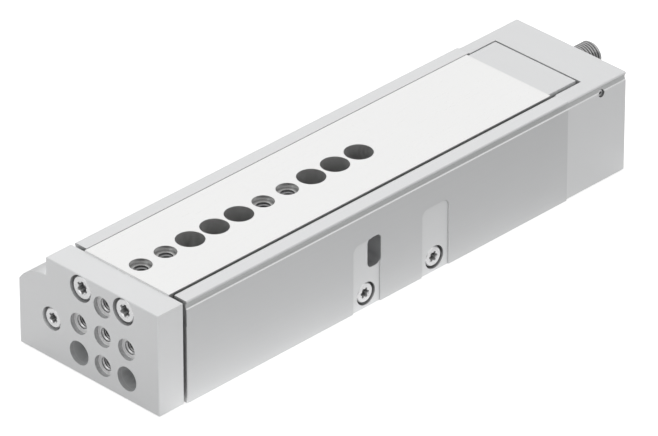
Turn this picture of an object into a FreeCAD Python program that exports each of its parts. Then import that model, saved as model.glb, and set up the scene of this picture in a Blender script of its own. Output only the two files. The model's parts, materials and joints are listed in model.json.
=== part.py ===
import FreeCAD, Part
import math
import os

os.makedirs("parts", exist_ok=True)
Vec = FreeCAD.Vector

# A pneumatic slide table: a steel slide runs on caged balls in an aluminium housing, and a
# cylinder in the housing's flank pushes the yoke plate at the slide's front end.
# All lengths are in millimetres. The origin lies on the mounting face, midway between the
# base screws. +X is the way the slide moves out, +Z is up, and the cylinder flank is on -Y.

# Overall section
body_width = 60.5
body_height = 45.2
flank_width = 15.5
flank_arc_radius = 17.7
flank_arc_outboard = 0.75
flank_arc_rise = 0.7
flank_arc_turn = 110.0
cover_inset = 0.3
foot_step = 0.7
edge_chamfer = 0.3

# Lengths along the stroke
stroke = 50.0
housing_length = 208.5
yoke_thickness = 13.0
yoke_gap = 2.0
slide_setback = 2.5
end_plate_length = 15.6
pocket_gap = 1.6
rear_wall = 18.3
rear_left_inset = 1.0

# Slide, with its row of threaded and access holes
slide_rise = 0.8
slide_thickness = 14.0
side_gap = 1.0
wall_top = 6.5
slide_play = 0.7
hole_pitch = 13.0
first_hole_offset = 7.5
threaded_places = (0, 1, 5, 6)
access_places = (2, 3, 4, 7, 8, 9)
outer_base_places = (2, 9)
inner_base_places = (4, 7)
access_diameter = 11.7
thread_diameter = 6.0
slide_thread_depth = 11.5
centring_diameter = 9.0
centring_depth = 2.1

# Channel below the slide
floor_thickness = 4.0
side_wall = 8.25
cylinder_wall = 2.9
base_hole_diameter = 6.6
under_centring_places = (3, 8)

# Groove under the top lip of the long sides
lip_radius = 0.7
lip_height = 0.9
groove_height = 2.5
groove_depth = 0.6
groove_lip = 0.3

# Ball guide
ball_diameter = 3.0
ball_play = 0.05
ball_pitch = 26.0
ball_row_drop = 8.5
rail_depth = 4.0
rail_height = 8.0
cage_thickness = 0.5
cage_height = 5.0
cage_end_gap = 2.0

# Cylinder
cylinder_inboard = 2.35
cylinder_drop = 13.2
bore_diameter = 20.0
rod_diameter = 8.0
rod_passage_diameter = 9.0
piston_length = 22.0
piston_play = 0.1
seal_play = 0.05
piston_end_gap = 2.0
front_space = 8.5
seal_width = 2.5
seal_groove_depth = 2.0
magnet_width = 4.0
magnet_play = 0.4
guide_ring_width = 4.0
guide_ring_depth = 0.8
piston_land = 1.8
spigot_diameter = 6.0
nut_across_flats = 10.0
nut_thickness = 4.5
nut_recess_diameter = 12.0
nut_inset = 1.0
cushion_thickness = 2.5
cushion_play = 1.0
bearing_seat_diameter = 16.0
bush_length = 16.0
rod_seal_length = 5.0
rod_running_play = 0.05
retaining_ring_width = 1.2
retaining_ring_setback = 1.5
retaining_ring_rise = 0.8
retaining_ring_band = 2.2
gasket_outer_diameter = 25.0
gasket_inner_diameter = 20.4
gasket_thickness = 0.9

# Air ports and passages
port_diameter = 8.8
port_depth = 9.0
port_passage_diameter = 4.0
front_port_outboard = 10.1
front_port_height = 6.5
front_passage_diameter = 3.5
cross_passage_outboard = 8.5
cross_passage_diameter = 3.0
cross_passage_setback = 4.5

# Sensor slots in the flank
sensor_slot_diameter = 5.2
sensor_slot_depth = 3.1
sensor_slot_mouth = 3.0
sensor_slot_spread = 4.5

# Yoke plate
yoke_grid = 13.0
yoke_grid_low = 10.0
yoke_through_diameter = 10.25
slide_screw_spread = 23.2
slide_screw_drop = 6.8
slide_screw_seat_diameter = 11.4
slide_screw_length = 20.0
rod_screw_seat_diameter = 10.0
rod_screw_length = 20.0
rod_recess = 2.0
head_recess = 0.8

# Screws: nominal thread, head diameter, head height, key across flats
m6 = (6.0, 10.0, 6.0, 5.0)
m5 = (5.0, 8.5, 5.0, 4.0)
m4 = (4.0, 7.0, 4.0, 3.0)
thread_play = 0.05
shank_clearance = 0.3
tap_spare = 2.0
screw_spare = 1.0
screw_tip_gap = 0.1

# Pads, side screws and slot on the visible side
pad_width = 15.0
pad_depth = 0.5
pad_height = 30.2
pad_corner = 3.5
side_screw_height = 6.2
side_screw_seat_diameter = 10.0
side_screw_seat_depth = 5.5
side_screw_stop_gap = 0.4
slot_width = 7.0
slot_height = 13.5
slot_corner = 2.5
slot_drop = 8.3
slot_setback = 4.3

# Front stop, under the slide
stop_block_length = 52.0
stop_block_width = 16.5
stop_from_wall = 9.0
stop_block_gap = 1.0
stop_block_sunk = 1.5
stop_block_edge = 7.1
stop_protrusion = 14.5
front_stop_diameter = 10.0
front_stop_key = 5.0
front_stop_lead = 6.0
slit_width = 1.2
clamp_seat_diameter = 7.5
clamp_head_seat = 4.5
clamp_screw_past = 5.0
buffer_diameter = 5.0
buffer_depth = 8.0
buffer_proud = 1.0
stop_touch_gap = 0.3

# Rear stop, in the rear block
rear_stop_diameter = 12.0
rear_stop_drop = 10.4
rear_stop_out = 13.0
rear_stop_key = 6.0
key_depth = 5.0
grub_diameter = 5.0
grub_length = 8.0
grub_gap = 0.1
plug_diameter = 3.2
plug_length = 4.0
plug_recess = 0.6
plug_from_pocket = 4.4
plug_drop = 4.3
plug_key = 1.5

# End plate behind the slide, with a leg that meets the front stop
end_plate_inset = 1.0
end_plate_drop = 0.2
end_plate_deep = 14.5
leg_clearance = 1.2
leg_side_gap = 2.0
leg_width = 14.0
end_screw_spread = 28.0
end_screw_reach = 12.0
pocket_side_gap = 1.45
pocket_leg_gap = 1.5

# Screws that hold the rear block to the housing
rear_screw_inset = 5.05
rear_screw_low = 9.0
rear_screw_high_drop = 5.0
rear_screw_foot = 5.8
rear_screw_gasket_gap = 0.8
rear_screw_cylinder_out = 11.1
rear_screw_cylinder_up = 10.7
rear_screw_reach = 10.0
rear_screw_seat_diameter = 7.6
rear_screw_seat_depth = 4.6

# How far a cutting shape runs past the face it opens, and the slack of a length that is looked for
past = 1.0
tiny = 1e-6

# Places that follow from the sizes above
half_width = body_width / 2
base_middle = (outer_base_places[0] + outer_base_places[1]) / 2
slide_front = first_hole_offset + hole_pitch * base_middle
yoke_front = slide_front + yoke_thickness
housing_front = slide_front - yoke_gap
housing_rear = housing_front - housing_length
slide_rear = housing_rear + slide_setback
end_plate_rear = slide_rear - end_plate_length
pocket_rear = end_plate_rear - pocket_gap
rear_face = pocket_rear - rear_wall
slide_top = body_height + slide_rise
slide_bottom = slide_top - slide_thickness
shelf_height = slide_bottom - slide_play
wall_inside = half_width - wall_top
slide_half = wall_inside - side_gap
channel_right = half_width - side_wall
channel_left = half_width - cylinder_inboard - bore_diameter / 2 - cylinder_wall
stop_y = channel_right - stop_from_wall
stop_block_inner = channel_right - stop_block_width
side_screw_reach = stop_from_wall - front_stop_diameter / 2 - side_screw_stop_gap
clamp_screw_reach = stop_from_wall + clamp_screw_past
leg_outer = channel_right - leg_side_gap
leg_inner = leg_outer - leg_width
pocket_half_width = slide_half - end_plate_inset + pocket_side_gap
ball_row_height = slide_top - ball_row_drop
cylinder_height = slide_bottom - cylinder_drop
flank_arc_height = cylinder_height + flank_arc_rise
slide_screw_height = slide_top - slide_screw_drop
slot_middle_height = slide_bottom - slot_drop
stop_block_height = slide_bottom - stop_block_gap
rear_stop_height = slide_top - rear_stop_drop
ball_row_y = wall_inside - side_gap / 2
ball_radius = ball_diameter / 2
groove_radius = ball_radius + ball_play
cage_rear = slide_rear + stroke / 2 + cage_end_gap
cage_front = housing_front - stroke / 2 - cage_end_gap
rod_y = -half_width + cylinder_inboard
rod_front = slide_front + rod_recess
piston_rear = housing_rear + piston_end_gap
piston_front = piston_rear + piston_length
bore_front = piston_front + stroke + front_space
bearing_rear = housing_front - retaining_ring_setback - retaining_ring_width - rod_seal_length - bush_length
buffer_end = slide_rear + stroke + stop_touch_gap
block_rear = buffer_end + stop_protrusion
block_front = block_rear + stop_block_length
side_screw_xs = (block_front - stop_block_edge, block_rear + stop_block_edge)
slot_x = side_screw_xs[0] - slot_setback
front_stop_front = block_front + front_stop_lead
rear_stop_front = end_plate_rear - stop_touch_gap - buffer_proud
rear_stop_end = rear_face - rear_stop_out
rear_wall_middle = (pocket_rear + rear_face) / 2
plug_x = pocket_rear - plug_from_pocket
plug_z = body_height - plug_drop
pad_face = half_width - pad_depth
rear_screw_radius = gasket_outer_diameter / 2 + m4[0] / 2 + rear_screw_gasket_gap
rear_screw_beside = math.sqrt(max(rear_screw_radius ** 2 - (cylinder_height - rear_screw_foot) ** 2, 0))
rear_screw_places = (
    (half_width - rear_screw_inset, rear_screw_low),
    (half_width - rear_screw_inset, slide_bottom - rear_screw_high_drop),
    (rod_y + rear_screw_beside, rear_screw_foot),
    (rod_y - rear_screw_cylinder_out, cylinder_height + rear_screw_cylinder_up),
)


def block(x0, x1, y0, y1, z0, z1):
    return Part.makeBox(x1 - x0, y1 - y0, z1 - z0, Vec(x0, y0, z0))


def round_x(x0, x1, y, z, diameter):
    return Part.makeCylinder(diameter / 2, x1 - x0, Vec(x0, y, z), Vec(1, 0, 0))


def round_y(y0, y1, x, z, diameter):
    return Part.makeCylinder(diameter / 2, y1 - y0, Vec(x, y0, z), Vec(0, 1, 0))


def round_z(z0, z1, x, y, diameter):
    return Part.makeCylinder(diameter / 2, z1 - z0, Vec(x, y, z0), Vec(0, 0, 1))


def ring_x(x0, x1, y, z, outer, inner):
    return round_x(x0, x1, y, z, outer).cut(round_x(x0, x1, y, z, inner))


def hexagon_x(x0, x1, y, z, across_flats):
    # A hexagonal prism along X, with two flats facing up and down.
    corner = across_flats / math.sqrt(3)
    points = []
    for k in range(7):
        turn = math.radians(60 * k)
        points.append(Vec(x0, y + corner * math.cos(turn), z + corner * math.sin(turn)))
    return Part.Face(Part.makePolygon(points)).extrude(Vec(x1 - x0, 0, 0))


def line(start, end):
    return Part.LineSegment(start, end).toShape()


def arc(start, middle, end):
    return Part.Arc(start, middle, end).toShape()


def cut_all(shape, tools):
    for tool in tools:
        shape = shape.cut(tool)
    return shape


def cap_screw(tip_at, head_at, size, length):
    # A socket cap screw. head_at is the underside of its head and tip_at a point that its shank
    # runs towards; the key socket is in the far face of the head.
    thread, head, height, key = size
    way = tip_at.sub(head_at).normalize()
    back = Vec(-way.x, -way.y, -way.z)
    shank = Part.makeCylinder(thread / 2, length, head_at, way)
    cap = Part.makeCylinder(head / 2, height, head_at, back)
    rim = [edge for edge in cap.Edges if edge.Closed
           and abs(edge.BoundBox.Center.sub(head_at).Length - height) < tiny]
    cap = cap.makeChamfer(edge_chamfer, rim)
    socket = hexagon_x(0, height, 0, 0, key)
    socket.Placement = FreeCAD.Placement(head_at, FreeCAD.Rotation(Vec(1, 0, 0), back))
    socket.translate(back * (height / 2))
    return cap.fuse(shank).cut(socket)


def long_side(x, side, bottom, half):
    # One long side of the section from its foot to the top face, with the groove under the lip.
    def at(y, z):
        return Vec(x, side * y, z)
    high = body_height - lip_height
    low = high - groove_height
    corner = body_height - lip_radius
    slant = lip_radius * (1 - math.sqrt(0.5))
    return [
        line(at(half, bottom), at(half, low - groove_lip)),
        line(at(half, low - groove_lip), at(half - groove_lip, low)),
        arc(at(half - groove_lip, low), at(half - groove_depth, (low + high) / 2), at(half, high)),
        line(at(half, high), at(half, corner)),
        arc(at(half, corner), at(half - slant, body_height - slant), at(half - lip_radius, body_height)),
    ]


def flank_line(x, bottom, inset, left):
    # The outside of the cylinder flank, from the main section's side round and down to the foot.
    radius = flank_arc_radius - inset
    centre_y = half_width + flank_arc_outboard
    outer = half_width + flank_width - inset
    top = flank_arc_height + math.sqrt(radius ** 2 - (centre_y - left) ** 2)
    low = flank_arc_height + math.sqrt(radius ** 2 - (outer - centre_y) ** 2)
    turn = math.radians(flank_arc_turn)
    middle = Vec(x, -centre_y + radius * math.cos(turn), flank_arc_height + radius * math.sin(turn))
    edges = [
        arc(Vec(x, -left, top), middle, Vec(x, -outer, low)),
        line(Vec(x, -outer, low), Vec(x, -outer, bottom)),
    ]
    return edges, top, outer


def body_section(x0, x1, bottom, inset, left_inset):
    # The housing's outline, which the rear block repeats: main section, grooved sides and flank.
    left = half_width - left_inset
    flank, join, outer = flank_line(x0, bottom, inset, left)
    right_side = long_side(x0, 1, bottom, half_width)
    left_side = long_side(x0, -1, join, left)
    top = line(Vec(x0, half_width - lip_radius, body_height), Vec(x0, -left + lip_radius, body_height))
    foot = line(Vec(x0, -outer, bottom), Vec(x0, half_width, bottom))
    wire = Part.Wire(Part.sortEdges(right_side + [top] + left_side + flank + [foot])[0])
    return Part.Face(wire).extrude(Vec(x1 - x0, 0, 0))


def yoke_section(x0, x1):
    # The yoke's outline: a plain rectangle with the ear that reaches over the cylinder.
    flank, join, outer = flank_line(x0, foot_step, 0, half_width)
    edges = flank + [
        line(Vec(x0, half_width, foot_step), Vec(x0, half_width, body_height)),
        line(Vec(x0, half_width, body_height), Vec(x0, -half_width, body_height)),
        line(Vec(x0, -half_width, body_height), Vec(x0, -half_width, join)),
        line(Vec(x0, -outer, foot_step), Vec(x0, half_width, foot_step)),
    ]
    return Part.Face(Part.Wire(Part.sortEdges(edges)[0])).extrude(Vec(x1 - x0, 0, 0))


def slot_prism(y0, y1):
    # The upright slot through the housing's side wall, with rounded corners.
    x0 = slot_x - slot_width / 2
    z0 = slot_middle_height - slot_height / 2
    shape = block(x0, x0 + slot_width, y0, y1, z0, z0 + slot_height)
    corners = [edge for edge in shape.Edges if abs(edge.Length - (y1 - y0)) < tiny]
    return shape.makeFillet(slot_corner, corners)


def pad_cut(x):
    # A shallow milled pad, with rounded corners at the top and open at the foot.
    y1 = half_width + past
    shape = block(x - pad_width / 2, x + pad_width / 2, pad_face, y1, -past, pad_height)
    corners = [edge for edge in shape.Edges
               if abs(edge.Length - (y1 - pad_face)) < tiny and edge.BoundBox.ZMin > pad_height / 2]
    return shape.makeFillet(pad_corner, corners)


def channel_cut():
    # The wide channel that the slide runs in, and the narrower one below it.
    wide = block(housing_rear - past, housing_front + past, -wall_inside, wall_inside, shelf_height,
                 body_height + past)
    deep = block(housing_rear - past, housing_front + past, -channel_left, channel_right, floor_thickness,
                 body_height)
    return wide.fuse(deep)


def rail_pocket(side):
    low = ball_row_height - rail_height / 2
    y0, y1 = sorted((side * (wall_inside - past), side * (wall_inside + rail_depth)))
    return block(housing_rear - past, housing_front + past, y0, y1, low, low + rail_height)


def cylinder_cuts():
    # Piston bore from the rear, rod passage, and the bearing seat with its ring groove at the front.
    ring_front = housing_front - retaining_ring_setback
    return [
        round_x(housing_rear - past, bore_front, rod_y, cylinder_height, bore_diameter),
        round_x(bore_front - past, housing_front + past, rod_y, cylinder_height, rod_passage_diameter),
        round_x(bearing_rear, housing_front + past, rod_y, cylinder_height, bearing_seat_diameter),
        round_x(ring_front - retaining_ring_width, ring_front, rod_y, cylinder_height,
                bearing_seat_diameter + 2 * retaining_ring_rise),
    ]


def front_air_cuts():
    # The passage that brings air from the rear block to the front end of the piston bore.
    x = bore_front - cross_passage_setback
    y = rod_y - front_port_outboard
    across = rod_y - cross_passage_outboard
    return [
        round_x(housing_rear - past, x, y, front_port_height, front_passage_diameter),
        round_z(front_port_height, cylinder_height, x, across, cross_passage_diameter),
        round_y(y, across, x, front_port_height, cross_passage_diameter),
    ]


def sensor_slots():
    outer = -half_width - flank_width
    middle = outer + sensor_slot_depth
    cuts = []
    for side in (-1, 1):
        z = cylinder_height + side * sensor_slot_spread
        cuts.append(round_x(housing_rear - past, housing_front + past, middle, z, sensor_slot_diameter))
        cuts.append(block(housing_rear - past, housing_front + past, outer - past, middle,
                          z - sensor_slot_mouth / 2, z + sensor_slot_mouth / 2))
    return cuts


def side_screw_cuts(x):
    # Clearance for a side screw through the wall, with its head seat in the pad.
    seat = pad_face - side_screw_seat_depth
    return [
        round_y(channel_right, half_width, x, side_screw_height, m5[0] + shank_clearance),
        round_y(seat, half_width + past, x, side_screw_height, side_screw_seat_diameter),
    ]


def stop_block_seat():
    # The outline of the stop block's foot, let into the channel floor.
    return block(block_rear, block_front, stop_block_inner, channel_right,
                 floor_thickness - stop_block_sunk,
                 stop_block_height)


def make_housing():
    shape = body_section(housing_rear, housing_front, 0, 0, 0)
    cuts = [channel_cut(), stop_block_seat(), rail_pocket(1), rail_pocket(-1)]
    cuts += cylinder_cuts() + front_air_cuts() + sensor_slots()
    for x in side_screw_xs:
        cuts.append(pad_cut(x))
        cuts += side_screw_cuts(x)
    cuts.append(slot_prism(channel_right - past, half_width + past))
    for place in outer_base_places + inner_base_places:
        cuts.append(round_z(-past, floor_thickness + past, slide_hole_x(place), 0, base_hole_diameter))
    for place in under_centring_places:
        cuts.append(round_z(-past, centring_depth, slide_hole_x(place), 0, centring_diameter))
    for y, z in rear_screw_places:
        cuts.append(round_x(housing_rear - past, housing_rear + rear_screw_reach, y, z,
                            m4[0] + 2 * thread_play))
    return cut_all(shape, cuts)


def make_rear_block():
    # The end cap: a fork round the end plate in front of a thick wall with the ports and rear stop.
    shape = body_section(rear_face, housing_rear, foot_step, cover_inset, rear_left_inset)
    cuts = [
        block(pocket_rear, housing_rear + past, -pocket_half_width, pocket_half_width, shelf_height,
              body_height + past),
        block(pocket_rear, housing_rear + past, leg_inner - pocket_leg_gap, leg_outer + pocket_leg_gap,
              floor_thickness,
              body_height),
        round_x(rear_face - past, pocket_rear + past, 0, rear_stop_height,
                rear_stop_diameter + 2 * thread_play),
        round_z(foot_step - past, rear_stop_height, rear_wall_middle, 0, grub_diameter + 2 * thread_play),
        round_y(half_width - plug_recess - plug_length, half_width + past, plug_x, plug_z,
                plug_diameter + 2 * thread_play),
        round_x(rear_face - past, rear_face + port_depth, rod_y, cylinder_height, port_diameter),
        round_x(rear_face, housing_rear + past, rod_y, cylinder_height, port_passage_diameter),
        round_x(housing_rear - gasket_thickness, housing_rear + past, rod_y, cylinder_height,
                gasket_outer_diameter),
        round_x(rear_face - past, rear_face + port_depth, rod_y - front_port_outboard, front_port_height,
                port_diameter),
        round_x(rear_face, housing_rear + past, rod_y - front_port_outboard, front_port_height,
                front_passage_diameter),
    ]
    for y, z in rear_screw_places:
        cuts.append(round_x(rear_face - past, housing_rear + past, y, z, m4[0] + shank_clearance))
        cuts.append(round_x(rear_face - past, rear_face + rear_screw_seat_depth, y, z,
                            rear_screw_seat_diameter))
    return cut_all(shape, cuts)


def make_rear_screws():
    screws = []
    seat = rear_face + rear_screw_seat_depth
    length = housing_rear + rear_screw_reach - seat - screw_spare
    for y, z in rear_screw_places:
        screws.append(cap_screw(Vec(housing_rear, y, z), Vec(seat, y, z), m4, length))
    return Part.makeCompound(screws)


def make_rail(side):
    low = ball_row_height - rail_height / 2
    y0, y1 = sorted((side * wall_inside, side * (wall_inside + rail_depth)))
    rail = block(housing_rear, housing_front, y0, y1, low, low + rail_height)
    return rail.cut(round_x(housing_rear - past, housing_front + past, side * ball_row_y, ball_row_height,
                            2 * groove_radius))


def ball_xs():
    count = int((cage_front - cage_rear - ball_pitch / 2) // ball_pitch) + 1
    first = (cage_front + cage_rear - ball_pitch * (count - 1)) / 2
    return [first + ball_pitch * k for k in range(count)]


def make_cage(side):
    # A flat strip that holds its row of balls, which stand out on both sides of it.
    y0, y1 = sorted((side * ball_row_y - cage_thickness / 2, side * ball_row_y + cage_thickness / 2))
    low = ball_row_height - cage_height / 2
    strip = block(cage_rear, cage_front, y0, y1, low, low + cage_height)
    balls = [Part.makeSphere(ball_radius, Vec(x, side * ball_row_y, ball_row_height)) for x in ball_xs()]
    return strip.fuse(balls)


def slide_hole_x(place):
    return slide_front - first_hole_offset - hole_pitch * place


def make_slide():
    shape = block(slide_rear, slide_front, -slide_half, slide_half, slide_bottom, slide_top)
    long_edges = [edge for edge in shape.Edges
                  if abs(edge.BoundBox.YLength) < tiny and abs(edge.BoundBox.ZLength) < tiny]
    shape = shape.makeChamfer(edge_chamfer, long_edges)
    cuts = []
    for side in (-1, 1):
        cuts.append(round_x(slide_rear - past, slide_front + past, side * ball_row_y, ball_row_height,
                            2 * groove_radius))
        cuts.append(round_x(slide_front - slide_screw_depth(), slide_front + past,
                            side * slide_screw_spread / 2,
                            slide_screw_height, m6[0] + 2 * thread_play))
        cuts.append(round_x(slide_rear - past, slide_rear + end_screw_reach + tap_spare,
                            side * end_screw_spread / 2,
                            end_screw_height(), m5[0] + 2 * thread_play))
    for place in access_places:
        cuts.append(round_z(slide_bottom - past, slide_top + past, slide_hole_x(place), 0, access_diameter))
    for place in threaded_places:
        x = slide_hole_x(place)
        cuts.append(round_z(slide_top - slide_thread_depth, slide_top + past, x, 0, thread_diameter))
        cuts.append(round_z(slide_top - centring_depth, slide_top + past, x, 0, centring_diameter))
    return cut_all(shape, cuts)


def slide_screw_depth():
    return slide_screw_length - (yoke_thickness - m6[2] - head_recess) + tap_spare


def end_screw_height():
    return (slide_top + slide_bottom) / 2


def make_end_plate():
    half = slide_half - end_plate_inset
    top = slide_top - end_plate_drop
    plate = block(end_plate_rear, slide_rear, -half, half, top - end_plate_deep + end_plate_drop, top)
    leg = block(end_plate_rear, slide_rear, leg_inner, leg_outer, floor_thickness + leg_clearance,
                slide_bottom + past)
    shape = plate.fuse(leg).removeSplitter()
    cuts = []
    for side in (-1, 1):
        y = side * end_screw_spread / 2
        cuts.append(round_x(end_plate_rear - past, slide_rear + past, y, end_screw_height(),
                            m5[0] + shank_clearance))
        cuts.append(round_x(end_plate_rear - past, end_plate_rear + m5[2] + head_recess, y,
                            end_screw_height(),
                            side_screw_seat_diameter))
    return cut_all(shape, cuts)


def make_end_screws():
    screws = []
    seat = end_plate_rear + m5[2] + head_recess
    for side in (-1, 1):
        y = side * end_screw_spread / 2
        screws.append(cap_screw(Vec(slide_rear, y, end_screw_height()), Vec(seat, y, end_screw_height()),
                                m5,
                                slide_rear + end_screw_reach - seat))
    return Part.makeCompound(screws)


def make_yoke():
    shape = yoke_section(slide_front, yoke_front)
    rim = [edge for edge in shape.Edges
           if abs(edge.BoundBox.XMin - yoke_front) < tiny and abs(edge.BoundBox.Center.y + half_width) > tiny]
    shape = shape.makeChamfer(edge_chamfer, rim)
    centre = yoke_grid_low + yoke_grid
    cuts = []
    for y, z in ((0, yoke_grid_low), (0, centre), (0, centre + yoke_grid), (-yoke_grid, centre),
                 (yoke_grid, centre)):
        cuts.append(round_x(slide_front - past, yoke_front + past, y, z, thread_diameter))
        cuts.append(round_x(yoke_front - centring_depth, yoke_front + past, y, z, centring_diameter))
    for side in (-1, 1):
        cuts.append(round_x(slide_front - past, yoke_front + past, side * stop_y, yoke_grid_low,
                            yoke_through_diameter))
        y = side * slide_screw_spread / 2
        cuts.append(round_x(slide_front - past, yoke_front + past, y, slide_screw_height,
                            m6[0] + shank_clearance))
        cuts.append(round_x(yoke_front - m6[2] - head_recess, yoke_front + past, y, slide_screw_height,
                            slide_screw_seat_diameter))
    cuts.append(round_x(slide_front - past, yoke_front + past, rod_y, cylinder_height,
                        m5[0] + shank_clearance))
    cuts.append(round_x(yoke_front - m5[2] - head_recess, yoke_front + past, rod_y, cylinder_height,
                        rod_screw_seat_diameter))
    cuts.append(round_x(slide_front - past, rod_front, rod_y, cylinder_height,
                        rod_diameter + 2 * thread_play))
    return cut_all(shape, cuts)


def make_yoke_screws():
    seat = yoke_front - m6[2] - head_recess
    screws = []
    for side in (-1, 1):
        y = side * slide_screw_spread / 2
        screws.append(cap_screw(Vec(slide_front, y, slide_screw_height), Vec(seat, y, slide_screw_height),
                                m6,
                                slide_screw_length))
    return Part.makeCompound(screws)


def make_rod_screw():
    seat = yoke_front - m5[2] - head_recess
    return cap_screw(Vec(slide_front, rod_y, cylinder_height), Vec(seat, rod_y, cylinder_height), m5,
                     rod_screw_length)


def make_rod():
    rod = round_x(piston_front, rod_front, rod_y, cylinder_height, rod_diameter)
    spigot = round_x(piston_rear + nut_inset, piston_front, rod_y, cylinder_height, spigot_diameter)
    seat = yoke_front - m5[2] - head_recess
    tapped = round_x(seat - rod_screw_length - tap_spare, rod_front + past, rod_y, cylinder_height,
                     m5[0] + 2 * thread_play)
    return rod.fuse(spigot).cut(tapped)


def piston_grooves():
    # The places along the piston of its front seal, magnet, guide ring and rear seal.
    first = piston_front - piston_land
    magnet = first - seal_width - piston_land
    guide = magnet - magnet_width - piston_land
    last = guide - guide_ring_width - piston_land
    return first, magnet, guide, last


def groove_ring(front, width, outer, depth):
    return ring_x(front - width, front, rod_y, cylinder_height, outer, bore_diameter - 2 * depth)


def make_piston():
    outer = bore_diameter - 2 * piston_play
    first, magnet, guide, last = piston_grooves()
    shape = round_x(piston_rear, piston_front, rod_y, cylinder_height, outer)
    cuts = [
        round_x(piston_rear - past, piston_front + past, rod_y, cylinder_height, spigot_diameter),
        round_x(piston_rear - past, piston_rear + nut_thickness + nut_inset, rod_y, cylinder_height,
                nut_recess_diameter),
        groove_ring(first, seal_width, outer + past, seal_groove_depth),
        groove_ring(magnet, magnet_width, outer + past, seal_groove_depth),
        groove_ring(guide, guide_ring_width, outer + past, guide_ring_depth),
        groove_ring(last, seal_width, outer + past, seal_groove_depth),
    ]
    return cut_all(shape, cuts)


def make_piston_seals():
    first, magnet, guide, last = piston_grooves()
    outer = bore_diameter - 2 * seal_play
    return Part.makeCompound([groove_ring(front, seal_width, outer,
                                          seal_groove_depth) for front in (first, last)])


def make_piston_magnet():
    return groove_ring(piston_grooves()[1], magnet_width, bore_diameter - 2 * magnet_play,
                       seal_groove_depth)


def make_piston_guide_ring():
    return groove_ring(piston_grooves()[2], guide_ring_width, bore_diameter - 2 * seal_play,
                       guide_ring_depth)


def make_piston_nut():
    front = piston_rear + nut_thickness + nut_inset
    nut = hexagon_x(front - nut_thickness, front, rod_y, cylinder_height, nut_across_flats)
    return nut.cut(round_x(front - nut_thickness - past, front + past, rod_y, cylinder_height,
                           spigot_diameter))


def make_bush():
    return ring_x(bearing_rear, bearing_rear + bush_length, rod_y, cylinder_height, bearing_seat_diameter,
                  rod_diameter + 2 * rod_running_play)


def make_rod_seal():
    start = bearing_rear + bush_length
    return ring_x(start, start + rod_seal_length, rod_y, cylinder_height, bearing_seat_diameter,
                  rod_diameter + 2 * rod_running_play)


def make_retaining_ring():
    front = housing_front - retaining_ring_setback
    outer = bearing_seat_diameter + 2 * retaining_ring_rise
    ring = ring_x(front - retaining_ring_width, front, rod_y, cylinder_height, outer,
                  outer - 2 * retaining_ring_rise - 2 * retaining_ring_band)
    mouth = block(front - retaining_ring_width - past, front + past, rod_y - retaining_ring_band,
                  rod_y + retaining_ring_band,
                  cylinder_height, cylinder_height + outer)
    return ring.cut(mouth)


def make_front_cushion():
    return ring_x(bore_front - cushion_thickness, bore_front, rod_y, cylinder_height, bore_diameter,
                  rod_passage_diameter + cushion_play)


def make_gasket():
    return ring_x(housing_rear - gasket_thickness, housing_rear, rod_y, cylinder_height,
                  gasket_outer_diameter,
                  gasket_inner_diameter)


def make_stop_block():
    # The block that carries the front stop, screwed on through the pads. A slit over the stop's
    # bore lets the clamp screw, reached through the slot, grip the stop.
    shape = stop_block_seat()
    cuts = [
        round_x(block_rear - past, block_front + past, stop_y, yoke_grid_low,
                front_stop_diameter + 2 * thread_play),
        block(block_rear - past, block_front + past, stop_y - slit_width / 2, stop_y + slit_width / 2,
              yoke_grid_low,
              stop_block_height + past),
        round_y(channel_right - clamp_screw_reach - clamp_head_seat - past, channel_right + past, slot_x,
                slot_middle_height, m4[0] + 2 * thread_play),
        round_y(channel_right - clamp_head_seat, channel_right + past, slot_x, slot_middle_height,
                clamp_seat_diameter),
    ]
    for x in side_screw_xs:
        cuts.append(round_y(channel_right - side_screw_reach - screw_tip_gap, channel_right + past, x,
                            side_screw_height,
                            m5[0] + 2 * thread_play))
    return cut_all(shape, cuts)


def make_side_screws():
    seat = pad_face - side_screw_seat_depth
    screws = []
    for x in side_screw_xs:
        screws.append(cap_screw(Vec(x, channel_right, side_screw_height), Vec(x, seat, side_screw_height),
                                m5,
                                seat - channel_right + side_screw_reach))
    return Part.makeCompound(screws)


def make_clamp_screw():
    seat = channel_right - clamp_head_seat
    length = clamp_screw_reach - clamp_head_seat
    return cap_screw(Vec(slot_x, 0, slot_middle_height), Vec(slot_x, seat, slot_middle_height), m4, length)


def make_front_sleeve():
    rear = buffer_end + buffer_proud
    sleeve = round_x(rear, front_stop_front, stop_y, yoke_grid_low, front_stop_diameter)
    return cut_all(sleeve, [
        hexagon_x(front_stop_front - key_depth, front_stop_front + past, stop_y, yoke_grid_low,
                  front_stop_key),
        round_x(rear - past, rear + buffer_depth, stop_y, yoke_grid_low, buffer_diameter),
    ])


def make_front_buffer():
    return round_x(buffer_end, buffer_end + buffer_proud + buffer_depth, stop_y, yoke_grid_low,
                   buffer_diameter)


def make_rear_sleeve():
    sleeve = round_x(rear_stop_end, rear_stop_front, 0, rear_stop_height, rear_stop_diameter)
    return cut_all(sleeve, [
        hexagon_x(rear_stop_end - past, rear_stop_end + key_depth, 0, rear_stop_height, rear_stop_key),
        round_x(rear_stop_front - buffer_depth, rear_stop_front + past, 0, rear_stop_height,
                buffer_diameter),
    ])


def make_rear_buffer():
    return round_x(rear_stop_front - buffer_depth, rear_stop_front + buffer_proud, 0, rear_stop_height,
                   buffer_diameter)


def make_rear_grub():
    top = rear_stop_height - rear_stop_diameter / 2 - grub_gap
    grub = round_z(top - grub_length, top, rear_wall_middle, 0, grub_diameter)
    socket = hexagon_x(0, grub_length / 2, 0, 0, grub_diameter / 2)
    socket.Placement = FreeCAD.Placement(Vec(rear_wall_middle, 0, top - grub_length),
                                         FreeCAD.Rotation(Vec(1, 0, 0), Vec(0, 0, 1)))
    return grub.cut(socket)


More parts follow.
